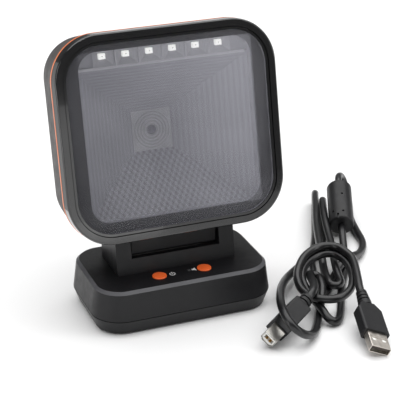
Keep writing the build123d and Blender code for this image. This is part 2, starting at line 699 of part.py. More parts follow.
hank_outline = [(68.0, -61.5), (70.5, -66.8), (76.0, -67.6), (80.5, -63.5), (87.0, -57.8), (94.8, -53.0), (104.8, -35.0),
                (110.0, -24.0), (110.0, -9.0), (132.0, 5.0), (143.5, 24.0), (144.5, 46.0), (153.5, 66.5), (159.0, 80.0),
                (159.8, 88.0), (156.0, 90.5), (150.0, 88.5), (143.5, 82.0), (139.8, 90.5), (137.0, 93.0), (133.2, 90.0),
                (120.5, 62.5), (108.0, 37.5), (99.0, 20.5), (91.0, 9.0), (83.0, -3.5), (67.3, -21.0), (61.3, -37.0),
                (62.0, -46.0), (65.3, -54.5)]
with BuildPart() as cable_hank:
    with BuildSketch(Plane.XY.offset(0.05)):
        with BuildLine():
            Polyline(*hank_outline, close=True)
        make_face()
    extrude(amount=13.9)
    # the two turns wound round the bundle stand higher, most at the far side
    with BuildSketch(Plane.XY.offset(0.05)):
        with BuildLine():
            Polyline((61.3, -37.0), (62.0, -46.0), (65.3, -54.5), (71.5, -58.5), (79.0, -60.0), (87.0, -57.5), (94.8, -53.0),
                     (104.8, -35.0), (110.0, -24.0), (108.0, -9.0), (101.0, -3.2), (96.0, -1.2), (83.0, -4.4), (67.3, -21.0),
                     close=True)
        make_face()
    extrude(amount=22.2)
    with BuildSketch(Plane.YZ.offset(55.0)):
        with BuildLine():
            Polyline((-70.0, 12.6), (-8.0, 22.2), (5.0, 22.3), (5.0, 32.0), (-70.0, 32.0), close=True)
        make_face()
    extrude(amount=55.0, mode=Mode.SUBTRACT)
    with BuildSketch(FER.offset(-3.0)):
        Circle(ferrite_r + 0.02)
    extrude(amount=fer_len + 6.0, mode=Mode.SUBTRACT)
    # clear of both plugs
    with BuildSketch(PB.offset(20.0)):
        Circle(8.4)
    extrude(amount=len_b - 20.0, mode=Mode.SUBTRACT)
    with BuildSketch(PA.offset(20.0)):
        Circle(5.0)
    extrude(amount=len_a - 20.0, mode=Mode.SUBTRACT)
cable_hank.part.label = "cable_hank"

lead_nodes = []
for nm, pts, rad in (("cable_lead_a", lead_a_pts, 6.0), ("cable_lead_b", lead_b_pts, 2.9)):
    with BuildPart() as lead:
        with BuildLine() as route:
            FilletPolyline(*pts, radius=rad)
        with BuildSketch(Plane(origin=route.line @ 0, z_dir=route.line % 0)):
            Circle(cord_r)
        sweep(path=route.line)
        add(cable_hank.part, mode=Mode.SUBTRACT)
    lead_solid = Part() + lead.part.solids().sort_by(SortBy.VOLUME)[-1]
    lead_solid.label = nm
    lead_nodes.append(lead_solid)

# USB type A plug
shell_a, body_a, shoulder_a = 12.0, 19.5, 5.0
with BuildPart() as usb_a_shell:
    with BuildSketch(PA):
        RectangleRounded(12.0, 4.5, 0.5)
        RectangleRounded(11.3, 3.8, 0.3, mode=Mode.SUBTRACT)
    extrude(amount=shell_a + 3.0)
    # latch windows in both wide faces
    with BuildSketch(Plane(origin=PA.origin + PA.z_dir * 6.3 - PA.y_dir * 5.0, x_dir=PA.x_dir, z_dir=PA.y_dir)):
        with Locations((3.0, 0.0), (-3.0, 0.0)):
            Rectangle(2.4, 2.4)
    extrude(amount=10.0, mode=Mode.SUBTRACT)
usb_a_shell.part.label = "usb_a_shell"

with BuildPart() as usb_a_insert:
    with BuildSketch(PA.offset(0.5)):
        with Locations((0, -0.95)):
            Rectangle(10.9, 1.7)
    extrude(amount=shell_a + 2.4)
usb_a_insert.part.label = "usb_a_insert"

with BuildPart() as usb_a_body:
    with BuildSketch(PA.offset(shell_a)):
        RectangleRounded(15.6, 7.4, 1.6)
    extrude(amount=body_a)
    # shoulder down to the strain relief
    with BuildSketch(PA.offset(shell_a + body_a)):
        RectangleRounded(15.6, 7.4, 1.6)
    with BuildSketch(PA.offset(shell_a + body_a + shoulder_a)):
        RectangleRounded(9.4, 7.0, 1.6)
    loft()
    with BuildSketch(PA.offset(shell_a - 1.0)):
        RectangleRounded(12.02, 4.52, 0.5)
    extrude(amount=4.05, mode=Mode.SUBTRACT)
usb_a_body.part.label = "usb_a_body"

relief_nodes = []
for nm, pl, z0, z1, r0, rings in (("usb_a_relief", PA, shell_a + body_a + shoulder_a, len_a, 3.9, 3),
                                  ("usb_b_relief", PB, 9.0 + 24.0, len_b, 4.3, 2)):
    z2 = z1 - 3.0 * rings
    with BuildPart() as relief:
        with BuildSketch(pl.offset(z0)):
            Circle(r0)
        extrude(amount=z2 - z0)
        for k in range(rings):
            with BuildSketch(pl.offset(z2 + 3.0 * k)):
                Circle(cord_r + 0.5)
            extrude(amount=1.2)
            with BuildSketch(pl.offset(z2 + 1.2 + 3.0 * k)):
                Circle(r0 - 0.25 * (k + 1))
            extrude(amount=1.8)
        with BuildSketch(pl.offset(z1 - 3.0)):
            Circle(cord_r + 0.02)
        extrude(amount=6.0, mode=Mode.SUBTRACT)
    relief.part.label = nm
    relief_nodes.append(relief.part)

# USB type B plug
shell_b, body_b = 9.0, 24.0
with BuildPart() as usb_b_shell:
    with BuildSketch(PB):
        with BuildLine():
            Polyline((-4.22, -3.89), (4.22, -3.89), (4.22, 2.2), (2.6, 3.89), (-2.6, 3.89), (-4.22, 2.2), close=True)
        make_face()
        offset(amount=-0.4, mode=Mode.SUBTRACT)
    extrude(amount=shell_b + 3.0)
usb_b_shell.part.label = "usb_b_shell"

with BuildPart() as usb_b_insert:
    with BuildSketch(PB.offset(0.4)):
        with BuildLine():
            Polyline((-3.75, -3.42), (3.75, -3.42), (3.75, 1.9), (2.3, 3.4), (-2.3, 3.4), (-3.75, 1.9), close=True)
        make_face()
        with Locations((0, -0.2)):
            Rectangle(5.7, 3.3, mode=Mode.SUBTRACT)
    extrude(amount=8.4)
    with BuildSketch(PB.offset(8.7)):
        with Locations((0, -0.2)):
            Rectangle(7.0, 5.0)
    extrude(amount=3.0)
usb_b_insert.part.label = "usb_b_insert"

with BuildPart() as usb_b_body:
    with BuildSketch(PB.offset(shell_b)):
        RectangleRounded(11.5, 10.5, 1.0)
    extrude(amount=body_b)
    fillet(usb_b_body.faces().sort_by(Axis(PB.origin, PB.z_dir))[-1].edges(), 1.2)
    with BuildSketch(PB.offset(shell_b - 1.0)):
        Rectangle(8.48, 7.82)
    extrude(amount=4.05, mode=Mode.SUBTRACT)
usb_b_body.part.label = "usb_b_body"

nodes = [base_top_housing.part, base_bottom_cover.part, anti_slip_pad.part, ballast_plate.part, base_screws.part,
         base_board.part, usb_b_socket.part, usb_b_tongue.part, power_switch.part, volume_switch.part, beeper.part,
         base_controller.part, harness_header.part, power_icon.part, speaker_icon.part, *btn_nodes, *hinge_nodes,
         neck_knuckle.part, *bush_nodes, head_rear_shell.part, accent_ring.part, front_bezel.part, window_trim.part,
         window_glass.part, window_mask.part, window_gasket.part, light_tunnel.part, led_reflector.part, led_board.part,
         *led_nodes, lens_panel.part, camera_lens.part, lens_barrel.part, image_sensor.part, head_board.part,
         decoder_chip.part, head_connector.part, cable_hank.part, *lead_nodes, ferrite_core.part, usb_a_shell.part,
         usb_a_insert.part, usb_a_body.part, *relief_nodes, usb_b_shell.part, usb_b_insert.part, usb_b_body.part]

for n in nodes:
    export_step(n, "parts/%s.step" % n.label)
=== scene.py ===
import bpy, bmesh
from math import radians, sin, cos, pi
from mathutils import Matrix, Vector


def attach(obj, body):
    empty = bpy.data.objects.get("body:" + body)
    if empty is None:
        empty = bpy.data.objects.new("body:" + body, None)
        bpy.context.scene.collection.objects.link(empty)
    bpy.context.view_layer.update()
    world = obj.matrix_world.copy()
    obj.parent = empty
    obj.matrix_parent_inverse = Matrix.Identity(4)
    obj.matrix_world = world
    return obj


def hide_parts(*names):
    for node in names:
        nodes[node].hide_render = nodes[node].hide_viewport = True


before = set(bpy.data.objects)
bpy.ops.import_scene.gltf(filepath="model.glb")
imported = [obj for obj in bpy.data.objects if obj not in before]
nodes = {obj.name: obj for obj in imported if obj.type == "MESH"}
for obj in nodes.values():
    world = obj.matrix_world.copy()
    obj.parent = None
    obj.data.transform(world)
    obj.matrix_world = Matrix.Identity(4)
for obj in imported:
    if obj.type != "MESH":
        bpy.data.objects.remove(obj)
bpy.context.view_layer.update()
scene = bpy.context.scene

# ------------------------------------------------------------------ head frame (metres)
TILT = radians(12.28)
WIN = Vector((0.0, -0.00698, 0.109))
UPV = Vector((0.0, sin(TILT), cos(TILT)))
INV = Vector((0.0, cos(TILT), -sin(TILT)))      # into the head


def hpt(u, v, w):
    """A point u right, v up and w behind the front of the window glass, given in millimetres."""
    return WIN + Vector((u, 0, 0)) * 0.001 + UPV * (v * 0.001) + INV * (w * 0.001)


# ------------------------------------------------------------------ camera
cam_data = bpy.data.cameras.new("camera")
cam_data.sensor_width = 36.0
cam_data.lens = 124.92
cam_data.clip_start = 0.05
cam_data.clip_end = 20.0
cam = bpy.data.objects.new("camera", cam_data)
scene.collection.objects.link(cam)
rx = Vector((0.931371, -0.364039, -0.004895))
ry = Vector((0.153163, 0.379589, 0.912389))
rz = Vector((-0.330287, -0.850522, 0.409296))
cam.matrix_world = Matrix(((rx.x, ry.x, rz.x, -0.24481), (rx.y, ry.y, rz.y, -0.67812), (rx.z, ry.z, rz.z, 0.38656), (0, 0, 0, 1)))
scene.camera = cam
scene.view_settings.view_transform = "Standard"
scene.view_settings.look = "None"

# ------------------------------------------------------------------ the loose lead
ROUTE = [[93.8, -59.1, 14.1], [94.7, -55.2, 15.0], [99.7, -42.8, 16.5], [106.2, -24.4, 18.2], [105.1, -17.5, 18.9], [103.8, -11.5, 19.4],
         [100.9, -8.0, 19.5], [97.1, -5.9, 19.5], [92.3, -5.8, 19.3], [86.8, -7.5, 18.9], [78.4, -13.1, 18.1], [68.6, -25.7, 15.3],
         [65.4, -36.3, 13.0], [65.6, -43.6, 12.1], [67.8, -49.3, 11.8], [71.6, -53.2, 11.7], [76.7, -55.1, 11.3], [82.5, -54.9, 11.1],
         [88.6, -52.0, 11.2], [95.4, -45.7, 11.8], [102.1, -32.0, 13.1], [103.9, -20.9, 14.2], [103.1, -15.2, 14.7], [101.3, -10.8, 15.0],
         [98.1, -8.2, 15.1], [93.9, -7.4, 14.9], [88.9, -8.5, 14.5], [82.8, -11.7, 13.8], [75.9, -18.3, 12.8], [71.5, -27.0, 10.6],
         [70.8, -43.6, 7.6], [70.9, -57.7, 6.6], [70.7, -62.1, 5.1], [72.8, -65.9, 3.3], [76.9, -64.4, 2.4], [80.0, -60.8, 2.4],
         [86.6, -49.0, 2.4], [96.1, -30.2, 2.4], [107.2, -13.7, 2.3], [116.0, 4.2, 2.5], [123.9, 23.0, 4.7], [131.1, 40.3, 10.8],
         [138.7, 58.1, 17.5], [144.0, 70.9, 22.3], [147.3, 77.8, 22.7], [150.6, 82.7, 21.5], [153.3, 85.6, 19.6], [155.5, 86.5, 16.2],
         [156.1, 84.5, 12.4], [155.1, 80.6, 9.2], [153.1, 74.2, 5.6], [146.5, 58.5, 2.5], [141.1, 38.5, 2.4], [137.0, 19.5, 2.4],
         [127.8, 6.5, 2.6], [117.0, -1.7, 6.7], [107.8, -7.6, 7.1], [97.4, -16.7, 2.7], [89.9, -26.0, 2.3], [86.8, -29.8, 2.5],
         [82.3, -30.6, 2.4], [80.6, -26.5, 2.4], [81.8, -22.1, 2.4], [87.7, -10.9, 2.4], [95.0, 8.8, 2.4], [105.1, 25.9, 2.4],
         [114.6, 43.6, 2.5], [123.0, 61.9, 2.4], [131.7, 79.6, 2.5], [135.1, 86.6, 2.2], [136.7, 90.1, 4.1], [136.2, 89.3, 8.4],
         [134.3, 85.5, 10.0], [130.4, 77.5, 11.0], [122.2, 59.3, 11.7], [113.8, 41.1, 10.5], [106.3, 22.4, 10.1], [99.3, 3.9, 9.6],
         [92.0, -15.5, 6.7], [89.4, -27.2, 7.4], [88.3, -31.3, 6.9], [91.8, -34.3, 6.9], [95.4, -31.2, 7.1], [96.8, -26.1, 7.3],
         [100.9, -11.0, 9.5], [109.5, 7.9, 7.5], [115.8, 26.7, 8.0], [122.1, 45.7, 10.1], [130.0, 64.4, 10.6], [134.1, 73.2, 9.8],
         [136.0, 77.2, 8.6], [136.7, 78.6, 4.5], [135.1, 75.3, 2.2], [132.0, 69.1, 2.4], [123.6, 52.1, 2.5], [114.9, 33.5, 2.1],
         [105.7, 17.0, 3.5], [95.6, 7.4, 7.9], [82.9, -0.2, 5.6], [69.1, -12.8, 7.2], [58.0, -29.0, 11.9], [48.6, -46.7, 15.7],
         [41.6, -63.5, 19.3], [39.4, -71.4, 19.7], [38.8, -76.5, 18.5], [39.6, -80.4, 16.7], [41.8, -82.4, 13.9], [45.1, -82.4, 10.8],
         [49.2, -80.8, 7.6], [55.1, -76.7, 4.2], [62.2, -67.3, 2.5], [71.7, -50.6, 2.0], [82.2, -34.2, 6.5], [85.1, -24.3, 7.7],
         [86.3, -19.8, 7.3], [83.3, -16.7, 8.4], [79.7, -19.0, 9.5], [78.2, -24.6, 11.1], [73.3, -39.5, 15.2], [69.2, -48.5, 16.7],
         [64.5, -53.6, 16.1], [61.9, -55.0, 14.9]]
ROUTE = ROUTE[::-1]                              # from the type B plug, the scanner's end, to the type A plug
CORD_D = 0.0048

cu = bpy.data.curves.new("usb_lead", "CURVE")
cu.dimensions = "3D"
sp = cu.splines.new("NURBS")
sp.points.add(len(ROUTE) - 1)
for p, (x, y, z) in zip(sp.points, ROUTE):
    p.co = (x * 0.001, y * 0.001, z * 0.001, 1.0)
    p.radius = CORD_D / 2
sp.order_u = 3
sp.use_endpoint_u = True
cu.resolution_u = 10
cu.bevel_depth = 1.0                             # times each point's radius
cu.bevel_resolution = 5
cu.use_fill_caps = True
lead = bpy.data.objects.new("usb_lead", cu)
scene.collection.objects.link(lead)
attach(lead, "usb_cable")
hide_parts("cable_hank", "cable_lead_a", "cable_lead_b")


# ------------------------------------------------------------------ materials
class Mat:
    """A node material built step by step on one Principled BSDF."""

    def __init__(self, name, rough, metallic=0.0, spec=0.5, ior=1.5, coat=0.0, coat_rough=0.03):
        self.m = bpy.data.materials.new(name)
        self.m.use_nodes = True
        self.t = self.m.node_tree
        self.b = next(n for n in self.t.nodes if n.type == "BSDF_PRINCIPLED")
        self.b.inputs["Roughness"].default_value = rough
        self.b.inputs["Metallic"].default_value = metallic
        self.b.inputs["Specular IOR Level"].default_value = spec
        self.b.inputs["IOR"].default_value = ior
        self.b.inputs["Coat Weight"].default_value = coat
        self.b.inputs["Coat Roughness"].default_value = coat_rough
        self.co = self.t.nodes.new("ShaderNodeTexCoord")
        self.last_normal = None

    def new(self, kind, **kw):
        n = self.t.nodes.new(kind)
        for k, v in kw.items():
            setattr(n, k, v)
        return n

    def link(self, a, b):
        self.t.links.new(a, b)

    def noise(self, scale, detail=3.0, rough=0.55, coord=None, stretch=None):
        n = self.new("ShaderNodeTexNoise")
        n.inputs["Scale"].default_value = scale
        n.inputs["Detail"].default_value = detail
        n.inputs["Roughness"].default_value = rough
        src = coord or self.co.outputs["Object"]
        if stretch:
            mp = self.new("ShaderNodeMapping")
            mp.inputs["Scale"].default_value = stretch
            self.link(src, mp.inputs["Vector"])
            src = mp.outputs["Vector"]
        self.link(src, n.inputs["Vector"])
        return n.outputs["Fac"]

    def ramp(self, fac, lo, hi, c0, c1):
        r = self.new("ShaderNodeValToRGB")
        r.color_ramp.elements[0].position = lo
        r.color_ramp.elements[1].position = hi
        r.color_ramp.elements[0].color = (*c0, 1)
        r.color_ramp.elements[1].color = (*c1, 1)
        self.link(fac, r.inputs["Fac"])
        return r.outputs["Color"]

    def color(self, c0, c1, scale=60.0, detail=4.0, lo=0.3, hi=0.7):
        self.link(self.ramp(self.noise(scale, detail), lo, hi, c0, c1), self.b.inputs["Base Color"])
        return self

    def roughness(self, r0, r1, scale=90.0, detail=5.0):
        mr = self.new("ShaderNodeMapRange")
        mr.inputs["From Min"].default_value = 0.3
        mr.inputs["From Max"].default_value = 0.7
        mr.inputs["To Min"].default_value = r0
        mr.inputs["To Max"].default_value = r1
        self.link(self.noise(scale, detail), mr.inputs["Value"])
        self.link(mr.outputs["Result"], self.b.inputs["Roughness"])
        return self

    def bump(self, height, strength, dist):
        b = self.new("ShaderNodeBump")
        b.inputs["Strength"].default_value = strength
        b.inputs["Distance"].default_value = dist
        self.link(height, b.inputs["Height"])
        if self.last_normal is not None:
            self.link(self.last_normal, b.inputs["Normal"])
        self.last_normal = b.outputs["Normal"]
        self.link(self.last_normal, self.b.inputs["Normal"])
        return self

    def grain(self, scale, strength, dist, detail=2.0):
        return self.bump(self.noise(scale, detail), strength, dist)

    def math(self, op, a, b=None, c=None):
        n = self.new("ShaderNodeMath", operation=op)
        for i, v in enumerate((a, b, c)):
            if v is None:
                continue
            if isinstance(v, (int, float)):
                n.inputs[i].default_value = v
            else:
                self.link(v, n.inputs[i])
        return n.outputs[0]


def use(mat, *names):
    for n in names:
        o = nodes[n] if isinstance(n, str) else n
        o.data.materials.clear()
        o.data.materials.append(mat.m if isinstance(mat, Mat) else mat)


# moulded plastics
base_mat = Mat("base_plastic_fine_texture_painted_chamfer_highlight", 0.4, spec=0.30)
base_mat.color((0.0065, 0.0065, 0.0075), (0.0105, 0.0105, 0.0118), scale=35, detail=6).roughness(0.34, 0.46, 240)
base_mat.grain(2600, 0.14, 0.00005, 3).grain(300, 0.04, 0.0002, 2)
# painted highlight: faces sloping between flat and upright, as on the front chamfer, are coloured several times lighter
# than the rest of the base
sn = base_mat.new("ShaderNodeSeparateXYZ")
base_mat.link(base_mat.co.outputs["Normal"], sn.inputs["Vector"])
chamfer_highlight_mask = base_mat.math("MULTIPLY", base_mat.math("GREATER_THAN", sn.outputs["Z"], 0.35), base_mat.math("LESS_THAN", sn.outputs["Z"], 0.93))
painted_chamfer_highlight = base_mat.new("ShaderNodeMix", data_type="RGBA")
base_mat.link(chamfer_highlight_mask, painted_chamfer_highlight.inputs["Factor"])
base_mat.link(base_mat.ramp(base_mat.noise(35, 6), 0.3, 0.7, (0.0065, 0.0065, 0.0075), (0.0105, 0.0105, 0.0118)), painted_chamfer_highlight.inputs[6])
base_mat.link(base_mat.ramp(base_mat.noise(60, 4), 0.3, 0.7, (0.060, 0.060, 0.066), (0.085, 0.085, 0.092)), painted_chamfer_highlight.inputs[7])
base_mat.link(painted_chamfer_highlight.outputs[2], base_mat.b.inputs["Base Color"])
use(base_mat, "base_top_housing", "base_bottom_cover")

shell_mat = Mat("rear_shell_fine_texture", 0.5, spec=0.35)
shell_mat.color((0.030, 0.026, 0.025), (0.042, 0.037, 0.036), scale=30, detail=6).roughness(0.45, 0.6, 200)
shell_mat.grain(2600, 0.22, 0.00006, 3).grain(260, 0.04, 0.0002, 2)
use(shell_mat, "head_rear_shell")
neck_mat = Mat("neck_plastic_fine_texture", 0.42, spec=0.30)
neck_mat.color((0.007, 0.007, 0.008), (0.011, 0.011, 0.012), scale=40, detail=6).roughness(0.42, 0.55, 220)
neck_mat.grain(2600, 0.2, 0.00006, 3)
use(neck_mat, "neck_knuckle")

gloss = Mat("bezel_gloss_black", 0.12, spec=0.5, coat=0.8, coat_rough=0.03)
gloss.color((0.0030, 0.0030, 0.0035), (0.0055, 0.0055, 0.006), scale=50, detail=5).roughness(0.07, 0.14, 160)
gloss.grain(120, 0.03, 0.0003, 3)
# satin on the top and the two sides, polished on the face and underneath
sn = gloss.new("ShaderNodeSeparateXYZ")
gloss.link(gloss.co.outputs["Normal"], sn.inputs["Vector"])
front = gloss.math("SUBTRACT", gloss.math("MULTIPLY", sn.outputs["Z"], sin(TILT)), gloss.math("MULTIPLY", sn.outputs["Y"], cos(TILT)))
satin = gloss.math("MULTIPLY", gloss.math("LESS_THAN", front, 0.35), gloss.math("GREATER_THAN", sn.outputs["Z"], -0.55))
under = gloss.math("LESS_THAN", sn.outputs["Z"], -0.12)
shine = gloss.math("SUBTRACT", 1.0, gloss.math("MULTIPLY", satin, 0.9))
gloss.link(gloss.math("ADD", gloss.math("MULTIPLY", shine, 0.5), gloss.math("MULTIPLY", under, 0.5)), gloss.b.inputs["Specular IOR Level"])
gloss.link(gloss.math("ADD", gloss.math("MULTIPLY", shine, 0.6), gloss.math("MULTIPLY", under, 0.4)), gloss.b.inputs["Coat Weight"])
use(gloss, "front_bezel", "window_trim")

orange = Mat("accent_orange_satin", 0.35, spec=0.5)
orange.color((0.83, 0.20, 0.06), (0.92, 0.26, 0.09), scale=80).roughness(0.28, 0.42, 300)
orange.grain(1500, 0.08, 0.00004)
use(orange, "accent_ring")

btn = Mat("button_orange_satin", 0.4, spec=0.45)
btn.color((0.80, 0.115, 0.022), (0.90, 0.16, 0.035), scale=180).roughness(0.32, 0.48, 500)
btn.grain(2400, 0.15, 0.00005)
use(btn, "power_button_cap", "volume_button_cap")

ink = Mat("icon_ink", 0.5)
ink.roughness(0.45, 0.6, 900)
sx = ink.new("ShaderNodeSeparateXYZ")
ink.link(ink.co.outputs["Object"], sx.inputs["Vector"])
faint = ink.math("MULTIPLY", ink.math("GREATER_THAN", sx.outputs["X"], 0.002), ink.math("LESS_THAN", sx.outputs["X"], 0.00595))
tone = ink.new("ShaderNodeMix", data_type="RGBA")
ink.link(faint, tone.inputs["Factor"])
ink.link(ink.ramp(ink.noise(900, 4), 0.3, 0.7, (0.62, 0.62, 0.62), (0.80, 0.80, 0.80)), tone.inputs[6])
ink.link(ink.ramp(ink.noise(900, 4), 0.3, 0.7, (0.10, 0.10, 0.10), (0.16, 0.16, 0.16)), tone.inputs[7])
ink.link(tone.outputs[2], ink.b.inputs["Base Color"])
ink.grain(5000, 0.1, 0.00002)
use(ink, "power_icon", "speaker_icon")

mask = Mat("window_border_print", 0.35, spec=0.35)
mask.color((0.016, 0.016, 0.018), (0.022, 0.022, 0.025), scale=25, detail=5).roughness(0.3, 0.42, 150)
mask.grain(1800, 0.05, 0.00003)
use(mask, "window_mask")

foam = Mat("gasket_foam", 0.9, spec=0.2)
foam.color((0.012, 0.012, 0.012), (0.03, 0.03, 0.03), scale=1500).roughness(0.85, 0.95, 800)
foam.grain(3000, 0.5, 0.0002)
use(foam, "window_gasket", "anti_slip_pad")

# window glass: almost clear, stronger towards grazing angles, with a painted reflection that lightens and thickens it
# towards the upper right
glass = Mat("window_glass_clear", 0.03, spec=0.5)
glass.roughness(0.02, 0.06, 30)
gx = glass.new("ShaderNodeSeparateXYZ")
glass.link(glass.co.outputs["Object"], gx.inputs["Vector"])
# painted reflection: base colour ramps lighter towards the upper right of the window
painted_reflection_gradient = glass.math("ADD", glass.math("MULTIPLY", gx.outputs["X"], 5.0), glass.math("MULTIPLY", glass.math("SUBTRACT", gx.outputs["Z"], 0.109), 4.0))
painted_reflection_gradient = glass.math("ADD", painted_reflection_gradient, glass.math("MULTIPLY", glass.noise(18, 3), 0.25))
glass.link(glass.ramp(glass.math("ADD", painted_reflection_gradient, 0.4), 0.0, 1.0, (0.36, 0.36, 0.42), (0.86, 0.86, 0.95)), glass.b.inputs["Base Color"])
lw = glass.new("ShaderNodeLayerWeight")
lw.inputs["Blend"].default_value = 0.35
mr = glass.new("ShaderNodeMapRange")
mr.inputs["To Min"].default_value = 0.03
mr.inputs["To Max"].default_value = 0.55
glass.link(lw.outputs["Facing"], mr.inputs["Value"])
gmp = glass.new("ShaderNodeMapping", vector_type="POINT")
gmp.inputs["Rotation"].default_value = (TILT, 0, 0)
glass.link(glass.co.outputs["Object"], gmp.inputs["Vector"])
gs = glass.new("ShaderNodeSeparateXYZ")
glass.link(gmp.outputs["Vector"], gs.inputs["Vector"])
in_u = glass.math("LESS_THAN", glass.math("ABSOLUTE", gs.outputs["X"]), 0.0502)
in_v = glass.math("LESS_THAN", glass.math("ABSOLUTE", glass.math("SUBTRACT", gs.outputs["Z"], 0.10502)), 0.0474)
# painted reflection: extra opacity inside the window, rising towards the upper right
rise = glass.new("ShaderNodeMapRange")
rise.inputs["From Min"].default_value = -0.35
rise.inputs["From Max"].default_value = 0.45
rise.inputs["To Min"].default_value = 0.0
rise.inputs["To Max"].default_value = 0.11
glass.link(painted_reflection_gradient, rise.inputs["Value"])
painted_reflection_veil = glass.math("MULTIPLY", glass.math("MULTIPLY", in_u, in_v), rise.outputs["Result"])
glass.link(glass.math("ADD", mr.outputs["Result"], painted_reflection_veil), glass.b.inputs["Alpha"])
glass.grain(40, 0.01, 0.0002)
use(glass, "window_glass")


def head_coords(m):
    """Object coordinates turned to the head: x right, y into the head, z up the face."""
    mp = m.new("ShaderNodeMapping", vector_type="POINT")
    mp.inputs["Rotation"].default_value = (TILT, 0, 0)
    m.link(m.co.outputs["Object"], mp.inputs["Vector"])
    s = m.new("ShaderNodeSeparateXYZ")
    m.link(mp.outputs["Vector"], s.inputs["Vector"])
    return s.outputs["X"], s.outputs["Y"], s.outputs["Z"]


# light tunnel: knurled floor, fine steps parallel to the window on the other walls
tun = Mat("tunnel_satin_patterned", 0.42, spec=0.4)
tun.roughness(0.34, 0.48, 120)
X, Y, Z = head_coords(tun)
dots = tun.math("MULTIPLY", tun.math("SINE", tun.math("MULTIPLY", X, 2 * pi / 0.0036)), tun.math("SINE", tun.math("MULTIPLY", Y, 2 * pi / 0.0040)))
steps = tun.math("SINE", tun.math("MULTIPLY", Y, 2 * pi / 0.0019))
sn = tun.new("ShaderNodeSeparateXYZ")
tun.link(tun.co.outputs["Normal"], sn.inputs["Vector"])
floor_mask = tun.math("GREATER_THAN", sn.outputs["Z"], 0.45)
hmix = tun.new("ShaderNodeMix")
tun.link(floor_mask, hmix.inputs["Factor"])
tun.link(tun.math("MULTIPLY", steps, 0.32), hmix.inputs[2])
tun.link(dots, hmix.inputs[3])
height = hmix.outputs[0]
shade = tun.math("ADD", tun.math("MULTIPLY", height, 0.30), tun.noise(14, 4))
tun.link(tun.ramp(shade, 0.2, 0.8, (0.150, 0.150, 0.168), (0.285, 0.285, 0.315)), tun.b.inputs["Base Color"])
tun.bump(height, 0.6, 0.00025)
tun.grain(1500, 0.05, 0.00004)
use(tun, "light_tunnel")

refl = Mat("reflector_satin", 0.35, spec=0.45)
refl.color((0.27, 0.27, 0.285), (0.31, 0.31, 0.325), scale=40, detail=4).roughness(0.28, 0.42, 200)
refl.grain(1800, 0.08, 0.00004)
use(refl, "led_reflector")

panel = Mat("lens_panel_satin", 0.4, spec=0.4)
panel.roughness(0.32, 0.46, 200)
X, Y, Z = head_coords(panel)
V = panel.math("SUBTRACT", Z, 0.10502 - 0.005)
rad = panel.math("SQRT", panel.math("ADD", panel.math("MULTIPLY", X, X), panel.math("MULTIPLY", V, V)))
wave = panel.math("SINE", panel.math("MULTIPLY", rad, 2 * pi / 0.0018))
inside = panel.math("LESS_THAN", rad, 0.0112)
rings = panel.math("MULTIPLY", wave, inside)
shade = panel.math("ADD", panel.math("MULTIPLY", rings, 0.22), panel.noise(60, 4))
panel.link(panel.ramp(shade, 0.2, 0.8, (0.19, 0.19, 0.20), (0.33, 0.33, 0.345)), panel.b.inputs["Base Color"])
panel.bump(rings, 0.5, 0.0002)
panel.grain(1600, 0.06, 0.00004)
use(panel, "lens_panel")

led = Mat("led_phosphor", 0.45)
led.color((0.78, 0.78, 0.75), (0.88, 0.88, 0.85), scale=900).roughness(0.4, 0.5, 700)
# painted glow: the lamps are unlit, the emission only makes the phosphor read brighter
led.b.inputs["Emission Color"].default_value = (1.0, 1.0, 0.97, 1)
led.b.inputs["Emission Strength"].default_value = 0.6
led.grain(2500, 0.1, 0.00003)
use(led, *["led_%d" % i for i in range(1, 7)])

lens = Mat("lens_coated_glass", 0.05, spec=0.6, coat=0.8)
lens.color((0.012, 0.012, 0.02), (0.03, 0.02, 0.05), scale=300).roughness(0.03, 0.08, 200)
lens.grain(100, 0.02, 0.0001)
use(lens, "camera_lens")

pcb = Mat("circuit_board", 0.4, spec=0.5)
pcb.color((0.006, 0.06, 0.022), (0.012, 0.10, 0.035), scale=500, detail=8, lo=0.42, hi=0.58).roughness(0.3, 0.5, 400)
pcb.grain(900, 0.15, 0.00005, 6)
use(pcb, "base_board", "led_board", "head_board")

dark = Mat("component_black", 0.45, spec=0.45)
dark.color((0.012, 0.012, 0.012), (0.022, 0.022, 0.022), scale=400).roughness(0.38, 0.55, 500)
dark.grain(2500, 0.15, 0.00004)
use(dark, "power_switch", "volume_switch", "beeper", "base_controller", "image_sensor", "lens_barrel", "decoder_chip")

steel = Mat("steel_brushed", 0.35, metallic=1.0)
steel.color((0.50, 0.50, 0.51), (0.66, 0.66, 0.67), scale=300).roughness(0.28, 0.45, 400)
steel.bump(steel.noise(700, 4, coord=None, stretch=(1.0, 0.05, 1.0)), 0.12, 0.00004)
use(steel, "ballast_plate", "base_screws", "hinge_pin_left", "hinge_pin_right")

nickel = Mat("nickel_plate", 0.22, metallic=1.0)
nickel.color((0.60, 0.57, 0.53), (0.74, 0.71, 0.67), scale=250, detail=5).roughness(0.16, 0.32, 500)
nickel.bump(nickel.noise(1200, 4, stretch=(1.0, 0.08, 1.0)), 0.10, 0.00003)
use(nickel, "usb_b_socket")

nickel_a = Mat("nickel_plate_satin", 0.32, metallic=1.0)
nickel_a.color((0.58, 0.54, 0.49), (0.72, 0.67, 0.61), scale=250, detail=5).roughness(0.30, 0.46, 500)
nickel_a.bump(nickel_a.noise(1200, 4, stretch=(1.0, 0.08, 1.0)), 0.10, 0.00003)
use(nickel_a, "usb_a_shell")

nickel_b = Mat("nickel_plate_dull", 0.30, metallic=1.0)
nickel_b.color((0.30, 0.29, 0.27), (0.44, 0.43, 0.40), scale=250, detail=5).roughness(0.26, 0.40, 500)
nickel_b.bump(nickel_b.noise(1200, 4, stretch=(1.0, 0.08, 1.0)), 0.10, 0.00003)
use(nickel_b, "usb_b_shell")

